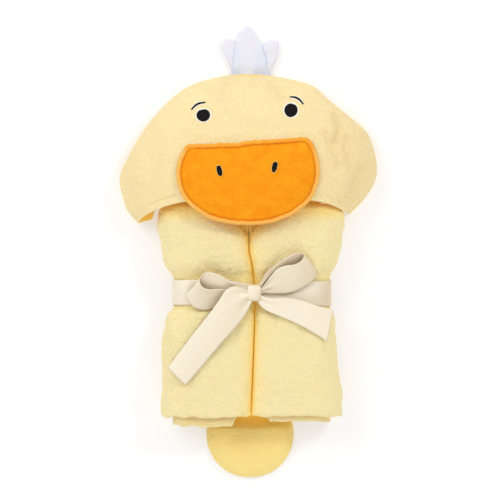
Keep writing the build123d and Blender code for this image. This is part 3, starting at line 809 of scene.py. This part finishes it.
def bill_rise(x, y, d):
    """Height of the bill's face above the hood, d in from its edge."""
    rim = 3.9 * np.sqrt(np.clip(1 - (1 - np.clip(d, 0, 2.4) / 2.4) ** 2, 0, 1))
    groove = 2.0 * np.exp(-((d - BILL_STITCH) / 1.1) ** 2)
    pad = 3.4 * ease(d, BILL_STITCH, 22)
    dimples = 0.28 * ripples(x, y, 9, 41) + 0.35 * ripples(x, y, 24, 42)
    return 1.0 + rim - groove + pad + dimples * ease(d, 3, 14)


def bill_top(x, y, d):
    return hood_top(x, y) + bill_rise(x, y, d)


def bill_low(x, y, d):
    return hood_top(x, y) + 0.7 + 0.3 * (1 - ease(d, 0, 2))


def make_bill():
    """The padded bill with its rolled edge, and its topstitching."""
    outline = bill_outline()
    # The rolled edge is paler, and least so along the top.
    piece = pillow("bill", outline, BILL_CENTRE, bill_top, bill_low, finish_of("bill"), rings=44,
                   shares={"rim": lambda x, y, d: (1 - ease(d, 2.6, 4.7)) * (0.8 - 0.55 * ease(y, 96, 106))})
    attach(piece, "bill")
    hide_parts("bill_back_panel", "bill_padding", "bill_front_panel")

    step = np.roll(outline, -1, 0) - np.roll(outline, 1, 0)
    inward = np.stack([step[:, 1], -step[:, 0]], 1)
    inward /= np.linalg.norm(inward, axis=1, keepdims=True)
    if ((np.array(BILL_CENTRE) - outline) * inward).sum() < 0:
        inward = -inward
    inside = outline + inward * BILL_STITCH
    line = np.vstack([inside, inside[:1]])
    z = bill_top(line[:, 0], line[:, 1], np.full(len(line), BILL_STITCH)) + 0.05
    row = sew("bill_topstitch_thread", [np.c_[line, z]], stitch_tree, finish_of("orange_thread"),
              Pitch=sizes().stitch * 0.86, Radius=0.00044)
    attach(row, "bill")
    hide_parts("bill_topstitch")


# ---------------------------------------------------------------- eyes, eyebrows and nostrils
def satin_oval(centre, radii, tilt, surface, gap=0.52):
    """Satin stitches side by side over an oval, laid on a surface."""
    turn = np.array([[math.cos(tilt), -math.sin(tilt)], [math.sin(tilt), math.cos(tilt)]])
    rng = np.random.RandomState(int(abs(centre[0]) * 7))
    lines = []
    for v in np.arange(-radii[1] + 0.25, radii[1] - 0.2, gap):
        half = radii[0] * math.sqrt(max(1 - (v / radii[1]) ** 2, 0.02)) + rng.uniform(-0.15, 0.15)
        s = np.linspace(-1, 1, 9)
        flat = np.stack([s * half, np.full(9, v)], 1) @ turn.T + centre
        dome = 0.55 * np.sqrt(np.clip(1 - s ** 2, 0, 1)) * (1 - 0.35 * (v / radii[1]) ** 2)
        lines.append(np.c_[flat, surface(flat[:, 0], flat[:, 1]) + dome - 0.1 + 0.35 * (np.abs(s) < 1)])
    return lines


def satin_arc(points, width, surface, gap=0.5):
    """Short satin stitches across a curved line, thinner towards its ends."""
    spine = evenly(points, int(np.ceil(18 / gap)))
    step = np.gradient(spine, axis=0)
    side = np.stack([-step[:, 1], step[:, 0]], 1)
    side /= np.linalg.norm(side, axis=1, keepdims=True)
    share = np.sin(np.linspace(0.28, math.pi - 0.28, len(spine))) ** 0.5
    lines = []
    for p, n, k in zip(spine, side, share):
        s = np.linspace(-1, 1, 5)
        flat = p + s[:, None] * n * width * k / 2
        lines.append(np.c_[flat, surface(flat[:, 0], flat[:, 1]) + 0.1 + 0.4 * np.sqrt(1 - s ** 2)])
    return lines


def halo(name, outline, surface, material, body):
    """The pressed pile round a patch of embroidery: it sinks into the cloth at its outer edge."""
    piece = pillow(name, outline, outline.mean(0),
                   lambda x, y, d: surface(x, y) + 0.42 * ease(d, 0.0, 0.8) - 0.14,
                   lambda x, y, d: surface(x, y) - 0.5 * ease(d, 0.0, 0.5) - 0.16, finish_of(material), rings=8)
    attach(piece, body)


def oval(centre, radii, tilt, count=56):
    a = np.linspace(0, math.tau, count, endpoint=False)
    x, y = radii[0] * np.cos(a), radii[1] * np.sin(a)
    return np.stack([centre[0] + x * math.cos(tilt) - y * math.sin(tilt),
                     centre[1] + x * math.sin(tilt) + y * math.cos(tilt)], 1)


def around(points, reach, count=60):
    """An outline that stays a set distance from a short curved line."""
    spine = evenly(points, count // 2)
    step = np.gradient(spine, axis=0)
    side = np.stack([-step[:, 1], step[:, 0]], 1)
    side /= np.linalg.norm(side, axis=1, keepdims=True)
    share = np.sqrt(np.clip(1 - np.linspace(-1, 1, len(spine)) ** 6, 0.05, 1))[:, None]
    return np.vstack([spine + side * reach * share, (spine - side * reach * share)[::-1]])


EYES = {"left": ((-44.3, 135.3), (7.0, 6.2), 0.16), "right": ((42.7, 140.3), (6.8, 6.9), -0.3)}
BROWS = {"left": [(-56.0, 141.2), (-52.6, 144.8), (-48.5, 147.2), (-42.6, 148.2)],
         "right": [(42.0, 153.8), (46.6, 153.4), (50.8, 151.2), (54.8, 146.8)]}
NOSTRILS = {"left": ((-28.2, 80.0), (2.7, 5.4), math.radians(14)),
            "right": ((26.3, 83.7), (2.6, 5.4), math.radians(-14))}


def on_bill(x, y):
    edge = bill_outline()
    return bill_top(x, y, to_line(x, y, np.vstack([edge, edge[:1]])))


def make_face():
    """Dark embroidery on pressed pile: eyes and eyebrows on the hood, nostrils on the bill."""
    thread = sizes().thread
    for word, (centre, radii, tilt) in EYES.items():
        halo(f"eye_halo_{word}", oval(centre, (radii[0] + 1.5, radii[1] + 1.5), tilt), hood_top, "pressed",
             "hood")
        piece = sew(f"eye_thread_{word}", satin_oval(centre, radii, tilt, hood_top), thread_tree,
                    finish_of("dark"), Radius=thread)
        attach(piece, "hood")
        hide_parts(f"eye_{word}")
    for word, points in BROWS.items():
        halo(f"brow_halo_{word}", around(points, 2.1), hood_top, "pressed", "hood")
        piece = sew(f"brow_thread_{word}", satin_arc(points, 2.0, hood_top), thread_tree,
                    finish_of("dark"), Radius=thread * 0.9)
        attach(piece, "hood")
        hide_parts(f"eyebrow_{word}")
    for word, (centre, radii, tilt) in NOSTRILS.items():
        halo(f"nostril_halo_{word}", oval(centre, (radii[0] + 0.9, radii[1] + 0.9), tilt), on_bill,
             "pressed_bill", "bill")
        piece = sew(f"nostril_thread_{word}", satin_oval(centre, radii, tilt, on_bill), thread_tree,
                    finish_of("dark"), Radius=thread)
        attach(piece, "bill")
        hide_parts(f"nostril_{word}")


# ---------------------------------------------------------------- crest and tail
CREST_Z = 4.0
CREST_LOBES = [  # outline, centre, thickness, shift in height
    ([(-15, 174.6), (-17.5, 182), (-21.2, 191), (-24.8, 199), (-27.4, 205.4), (-26.6, 210.2), (-22.8, 212.6),
      (-18.0, 212.2), (-13.4, 209.6), (-9.4, 203), (-7, 190), (-5.5, 174.6)], (-15.5, 195), 4.4, -0.6),
    ([(6, 174.6), (6.5, 186), (9, 197), (13.2, 203.6), (18.8, 209.4), (24.6, 212.0), (29.4, 210.6), (31.0, 205),
      (30.2, 197.5), (27.5, 189.5), (24, 182), (21, 174.6)], (20, 195), 4.6, -0.3),
    ([(-15.5, 174.6), (-15.4, 184), (-15.0, 195), (-13.4, 206), (-10.6, 214), (-7.4, 220), (-3.4, 224.2),
      (0.4, 225.2), (4.0, 222.4), (7.6, 216.4), (11.4, 210.3), (15.2, 204.0), (18.4, 196), (19.6, 185),
      (19.8, 174.6)], (2, 197), 5.4, 0.5)]


def make_crest():
    """Three overlapping padded lobes of plush, flat where the crown seam holds them."""
    lobes = []
    for index, (points, centre, thick, lift) in enumerate(CREST_LOBES):
        outline = evenly(points, 96, closed=True)

        def height(x, y, d, sign, thick=thick, lift=lift, seed=index):
            sewn = 0.5 * thick * ease(y, 170, 184)
            sewn = 1.0 + (sewn - 1.0) * ease(y, 174, 186)
            edge = np.clip(1 - (1 - np.clip(d / 4.2, 0, 1)) ** 2.6, 0, 1) ** 0.6
            uneven = 0.18 * ripples(x, y, 14, 51 + seed) * edge
            return CREST_Z + lift * ease(y, 176, 184) + sign * (0.35 + sewn * edge) + uneven

        lobes.append(pillow(f"crest_lobe_{index}", outline, centre, lambda x, y, d: height(x, y, d, 1),
                            lambda x, y, d: height(x, y, d, -1), finish_of("crest"), rings=16))
    crest = join("crest", lobes)
    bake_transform(crest)
    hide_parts("crest_back_panel", "crest_padding", "crest_front_panel", "crest_seam_tab", "crest_seam")


TAIL_CENTRE, TAIL_RADIUS, TAIL_X = -182.0, 43.6, 2.0
TAIL_PUFF, TAIL_CROWN = 11.4, (3.0, -190.0)  # height of its stuffing, and its highest point in plan


def make_tail():
    """A round padded tail, flat where its neck is sewn under the bundle."""
    a = np.radians(np.linspace(157.5, 382.5, 150))
    full = np.sign(np.cos(a)) * np.abs(np.cos(a)) ** 0.93
    arc = np.stack([TAIL_X + TAIL_RADIUS * full, TAIL_CENTRE + TAIL_RADIUS * np.sin(a)], 1)
    neck = [(40.5, -163.5), (34, -160), (32.5, -154.6), (0, -154.2), (-26.5, -154.6), (-28, -160),
            (-34.5, -163.5)]
    outline = evenly(np.vstack([arc, neck, arc[:1]]), 190, smooth=False)

    def puff(x, y):
        return ease(-y, 163.5, 178)

    def top(x, y, d):
        edge = np.sqrt(np.clip(1 - (1 - np.clip(d / 15, 0, 1)) ** 2, 0, 1))
        full = TAIL_PUFF * edge * (1 + 0.06 * ripples(x, y, 30, 61))
        return 0.7 + 0.5 * ease(d, 0, 1.2) + (0.3 + full) * puff(x, y) * edge ** 0.2

    def low(x, y, d):
        return 0.7 - 0.4 * ease(d, 0, 3)

    # Painted golden shade and a faint painted glow on the tail's upper part, under the towel's edge.
    tail = pillow("tail", outline, TAIL_CROWN, top, low, finish_of("tail"), rings=30,
                  shares={"rim": lambda x, y, d: 0.9 * (1 - ease(-y, 164, 181))})
    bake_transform(tail)
    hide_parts("tail_back_panel", "tail_stuffing", "tail_front_panel", "tail_seam_tab", "tail_seam",
                "tail_root")


# ---------------------------------------------------------------- ribbon and bow
def make_band():
    """The ribbon round the waist, drawn in and pleated where the knot holds it."""
    half, low, high = 78.9, 0.8, 41.15  # half its width round the bundle, and its lowest and highest faces
    reach, middle, radius = 58.4, 4.0, (high - low) / 2
    rows = 14
    squeeze = (half - reach) / radius
    a = np.radians(np.linspace(-90, 90, 40))
    right = np.stack([middle + reach + radius * squeeze * np.cos(a), (low + high) / 2 + radius * np.sin(a)], 1)
    left = np.stack([middle - reach - radius * squeeze * np.cos(a),
                     (low + high) / 2 + radius * np.sin(a)], 1)[::-1]
    ring = evenly(np.vstack([right, left, right[:1]]), 240, closed=True, smooth=False)
    w = np.linspace(-1, 1, rows)[:, None]
    x = np.repeat(ring[None, :, 0], rows, 0)
    z = np.repeat(ring[None, :, 1], rows, 0)
    upper = ease(z, 20, 41)
    near = np.exp(-((x - KNOT[0]) / 15.0) ** 2) * upper
    y = WAIST + w * (RIBBON_WIDE / 2 - 4.6 * near) + 0.6 * ripples(x, z, 50, 71) * upper - 1.1 * (x > 60) * upper
    folds = 0.55 * near * np.sin(w * 8.0) + 0.18 * ripples(x, y, 18, 72) * upper
    swell = 0.45 * np.cos(w * math.pi / 2) * upper
    body = np.stack([x, y, z + folds + swell], -1)
    around_bundle = np.linalg.norm(np.diff(ring, axis=0), axis=1).sum()
    run = np.linspace(0, around_bundle * MM, len(ring))
    uv = np.stack(np.broadcast_arrays(run[None], (w + 1) * RIBBON_WIDE * MM / 2), -1)
    faces = grid_faces(rows, len(ring), wrap=True)
    band = add_mesh("ribbon_band_satin", body, faces, finish_of("satin"), uv=uv)
    thicken(band, sizes().ribbon, offset=0)
    painted_satin_shade(band)
    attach(band, "bundle")
    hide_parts("ribbon_band")


KNOT_MIDDLE, KNOT_HALF = (6.1, -41.4, 46.1), (7.9, 8.4, 5.3)


def make_knot():
    """A tight rounded knot, pleated along the ribbon and flared at its ends."""
    rows, cols = 40, 64
    up = np.linspace(-math.pi / 2, math.pi / 2, rows)[:, None]
    turn = np.linspace(0, math.tau, cols, endpoint=False)[None]

    def power(v, k):
        return np.sign(v) * np.abs(v) ** k

    x = KNOT_HALF[0] * power(np.cos(up), 0.55) * power(np.cos(turn), 0.6)
    y = KNOT_HALF[1] * power(np.cos(up), 0.55) * power(np.sin(turn), 0.6)
    z = KNOT_HALF[2] * power(np.sin(up), 0.75)
    pleat = 0.30 * np.sin(x * 0.75 + 0.9 + 0.25 * y) + 0.12 * np.sin(x * 1.9 + 1.5 - 0.2 * y)
    z = z + pleat * ease(z, -1, 4)
    x = x * (1 - 0.10 * np.cos(y / KNOT_HALF[1] * math.pi / 2) * ease(z, -2, 2))
    flare = 1 + 0.07 * np.abs(y / KNOT_HALF[1]) ** 3
    body = np.stack([x * flare, y, z], -1) + KNOT_MIDDLE
    ends = [body[0].mean(0), body[-1].mean(0)]
    points = np.vstack([body.reshape(-1, 3), ends])
    faces = grid_faces(rows, cols, wrap=True)
    low, tip = rows * cols, rows * cols + 1
    faces += [(low, (c + 1) % cols, c) for c in range(cols)]
    faces += [(tip, (rows - 1) * cols + c, (rows - 1) * cols + (c + 1) % cols) for c in range(cols)]
    uv = np.stack([points[:, 1] * MM, points[:, 0] * MM], 1)
    knot = add_mesh("bow_knot_satin", points, faces, finish_of("satin"), uv=uv)
    outward(knot)
    painted_satin_shade(knot)
    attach(knot, "bundle")
    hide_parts("bow_knot")


# Each pair is the two edges of a ribbon at one place along it, from the knot outwards. After the pairs
# come the arch across it and the direction in which it leaves the knot, in degrees.
BOW = {
    "bow_loop_left": ([((1, -39.6, 48.5), (1, -42.0, 44.6)), ((-5, -36.8, 49.5), (-6, -43.4, 44.2)),
                       ((-17, -30.0, 53), (-19, -45, 43.4)), ((-29, -22.9, 56), (-33, -45, 43.2)),
                       ((-37.3, -20.6, 57), (-47, -42, 43.2)), ((-44.3, -22.1, 57), (-58, -41, 43.2)),
                       ((-47.9, -28.6, 56.5), (-61.3, -44.5, 43.4)), ((-45.5, -34.6, 56), (-58.5, -50.3, 43.8)),
                       ((-39.5, -37.4, 55), (-52.6, -56, 44)), ((-31, -37.2, 53.5), (-43, -58.5, 44.1)),
                       ((-22, -37.4, 51.5), (-32, -56, 44.4)), ((-12, -38.8, 49.5), (-16, -50, 45)),
                       ((0, -40.4, 47.5), (0, -43.6, 45))], 0.6, 168),
    "bow_loop_right": ([((10, -38.6, 48.5), (10.4, -40.4, 44.6)), ((13.6, -29.5, 51.5), (17, -36, 44)),
                        ((18.8, -20.6, 54.5), (27, -31, 43.6)), ((27.5, -13, 56.5), (38, -26, 43.4)),
                        ((37.6, -6.4, 57.3), (49, -20, 43.4)), ((46.5, -1.9, 57.3), (59, -16.5, 43.6)),
                        ((52.6, -1.2, 57.3), (66.4, -16.6, 44)), ((55.3, -4.6, 57), (68.2, -20.5, 44.6)),
                        ((52.3, -9.6, 56.8), (65.8, -27.2, 44.8)), ((46, -12.8, 56.6), (57.5, -34.2, 44.6)),
                        ((37.4, -14, 56), (47.2, -39.8, 44.4)), ((29.4, -17, 54.5), (36, -42.2, 44.2)),
                        ((22.6, -24.4, 52.4), (25.2, -41.8, 44.4)), ((16, -33, 50), (16.6, -40.6, 45)),
                        ((10.2, -39, 48), (10.4, -41.4, 45.4))], 0.7, 27),
    "bow_tail_left": ([((2.4, -39.4, 49.0), (4.6, -46.4, 47.6)), ((-5, -36.6, 51.5), (2.6, -52, 49)),
                       ((-13.5, -34.4, 54.3), (-0.4, -58.6, 50.6)), ((-21.5, -38, 55.6), (-4.4, -65.6, 51.6)),
                       ((-28.5, -48, 55.2), (-11, -74, 52.2)), ((-36.6, -59.4, 54.2), (-20, -84, 52.4)),
                       ((-48.5, -74.4, 52.8), (-32.6, -98.4, 52.2)),
                       ((-63.5, -93.8, 51.6), (-46.6, -115.2, 51.4)),
                       ((-79.7, -115.9, 50.6), (-62, -133, 50.8))], 0.9, 227),
    "bow_tail_right": ([((10.4, -42.6, 48.4), (8.6, -46.8, 47.4)), ((17.5, -44.9, 48.8), (11.4, -53, 48.2)),
                        ((26, -46.2, 48.8), (18.8, -58.8, 49.4)), ((38, -45.9, 48.2), (29.4, -63.4, 50)),
                        ((52, -48.2, 48.6), (44, -69.6, 50.4)), ((67, -53.2, 50.2), (60.6, -78, 50.6)),
                        ((84.8, -58.3, 50.2), (78.4, -89.2, 50.0))], 0.8, -24),
}
BEND_FROM, BEND_TO, BEND_HEIGHT = 7.0, 15.0, 0.0455  # two distances out from the knot and a height, for two points on each ribbon that nothing uses


def make_bow():
    """The two loops and two ends of the bow."""
    for name, (pairs, arch, direction) in BOW.items():
        piece = ribbon(f"{name}_satin", pairs, finish_of("satin"), along=130 if "loop" in name else 90,
                       bow=arch, pleat=0.55)
        thicken(piece, sizes().ribbon)
        painted_satin_shade(piece)
        a = math.radians(direction)
        near, far = (((KNOT[0] + r * math.cos(a)) * MM, (KNOT[1] + r * math.sin(a)) * MM, BEND_HEIGHT)
                     for r in (BEND_FROM, BEND_TO))
        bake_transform(piece)
        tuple(near)
        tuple(far)
        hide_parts(name)


# ---------------------------------------------------------------- floor, lights and camera
VIEW_WIDE, VIEW_FROM, SENSOR = 0.500, 6.0, 36  # metres shown, camera height in metres, sensor in mm
FLOOR_HALF = 4000


def area_light(name, place, size, watts):
    """A square soft light that faces the middle of the object."""
    lamp = bpy.data.lights.new(name, "AREA")
    lamp.shape, lamp.size, lamp.energy = "SQUARE", size, watts
    holder = bpy.data.objects.new(name, lamp)
    holder.location = place
    holder.rotation_euler = (-Vector(place)).to_track_quat("-Z", "Y").to_euler()
    bpy.context.scene.collection.objects.link(holder)


def make_stage():
    """A pale floor that glows a little, an even white room, three soft lights and a camera above."""
    material, tree = start_material("lit_white_sweep")
    shader = node(tree, "ShaderNodeBsdfPrincipled", {
        "Base Color": (0.62, 0.62, 0.62, 1), "Roughness": 1.0, "Specular IOR Level": 0.0,
        "Emission Color": (1, 1, 1, 1), "Emission Strength": 0.36})
    node(tree, "ShaderNodeOutputMaterial", Surface=shader.outputs[0])
    corners = [(x * FLOOR_HALF, y * FLOOR_HALF, 0) for x, y in ((-1, -1), (1, -1), (1, 1), (-1, 1))]
    floor = add_mesh("floor", corners, [(0, 1, 2, 3)], material)

    world = bpy.data.worlds.new("studio")
    world.use_nodes = True
    sky = world.node_tree.nodes["Background"]
    sky.inputs["Color"].default_value = (1, 1, 1, 1)
    sky.inputs["Strength"].default_value = 0.70
    bpy.context.scene.world = world
    area_light("key", (-1.5, 1.1, 1.5), 1.6, 21)
    area_light("right key", (1.4, 1.1, 1.6), 0.5, 14)
    area_light("low fill", (0.2, -2.2, 1.1), 1.6, 13)

    camera = bpy.data.cameras.new("camera")
    camera.sensor_width = SENSOR
    camera.lens = SENSOR * VIEW_FROM / VIEW_WIDE
    holder = bpy.data.objects.new("camera", camera)
    holder.location = (0.002, 0.0015, VIEW_FROM)
    bpy.context.scene.collection.objects.link(holder)
    bpy.context.scene.camera = holder
    bpy.context.scene.view_settings.view_transform = "Standard"


# ---------------------------------------------------------------- operators
class DUCK_OT_towel(bpy.types.Operator):
    """Make the folded and rolled towel"""
    bl_idname = "duck.towel"
    bl_label = "Rolled towel"

    def execute(self, context):
        make_towel()
        return {"FINISHED"}


class DUCK_OT_hood(bpy.types.Operator):
    """Make the hood: its face, its back and the neck seam"""
    bl_idname = "duck.hood"
    bl_label = "Hood"

    def execute(self, context):
        make_hood()
        return {"FINISHED"}


class DUCK_OT_bill(bpy.types.Operator):
    """Make the padded bill and its topstitching"""
    bl_idname = "duck.bill"
    bl_label = "Bill"

    def execute(self, context):
        make_bill()
        return {"FINISHED"}


class DUCK_OT_face(bpy.types.Operator):
    """Embroider the eyes, eyebrows and nostrils"""
    bl_idname = "duck.face"
    bl_label = "Embroidery"

    def execute(self, context):
        make_face()
        return {"FINISHED"}


class DUCK_OT_crest_and_tail(bpy.types.Operator):
    """Make the white crest and the padded tail"""
    bl_idname = "duck.crest_and_tail"
    bl_label = "Crest and tail"

    def execute(self, context):
        make_crest()
        make_tail()
        return {"FINISHED"}


class DUCK_OT_ribbon(bpy.types.Operator):
    """Tie the satin ribbon and its bow"""
    bl_idname = "duck.ribbon"
    bl_label = "Ribbon and bow"

    def execute(self, context):
        make_band()
        make_knot()
        make_bow()
        return {"FINISHED"}


class DUCK_OT_stage(bpy.types.Operator):
    """Set the floor, the lights and the camera"""
    bl_idname = "duck.stage"
    bl_label = "Floor, lights and camera"

    def execute(self, context):
        make_stage()
        return {"FINISHED"}


class DUCK_PT_panel(bpy.types.Panel):
    """Sizes, colours and pieces of the towel bundle"""
    bl_idname = "DUCK_PT_panel"
    bl_label = "Hooded Duck Towel"
    bl_space_type = "VIEW_3D"
    bl_region_type = "UI"
    bl_category = "Towel"

    def draw(self, context):
        for group in (context.scene.duck_towel_sizes, context.scene.duck_towel_colours):
            for key in group.__annotations__:
                self.layout.prop(group, key)
        for operator in OPERATORS:
            self.layout.operator(operator.bl_idname)


OPERATORS = (DUCK_OT_stage, DUCK_OT_towel, DUCK_OT_hood, DUCK_OT_bill, DUCK_OT_face, DUCK_OT_crest_and_tail,
             DUCK_OT_ribbon)
CLASSES = (DuckTowelSizes, DuckTowelColours, *OPERATORS, DUCK_PT_panel)


def register():
    for item in CLASSES:
        bpy.utils.register_class(item)
    bpy.types.Scene.duck_towel_sizes = PointerProperty(type=DuckTowelSizes)
    bpy.types.Scene.duck_towel_colours = PointerProperty(type=DuckTowelColours)


def unregister():
    del bpy.types.Scene.duck_towel_colours
    del bpy.types.Scene.duck_towel_sizes
    for item in reversed(CLASSES):
        bpy.utils.unregister_class(item)


def main():
    register()
    # The camera comes first, then the pieces.
    bpy.ops.duck.stage()
    bpy.ops.duck.towel()
    bpy.ops.duck.hood()
    bpy.ops.duck.bill()
    bpy.ops.duck.face()
    bpy.ops.duck.crest_and_tail()
    bpy.ops.duck.ribbon()
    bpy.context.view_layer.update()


if __name__ == "__main__":
    main()
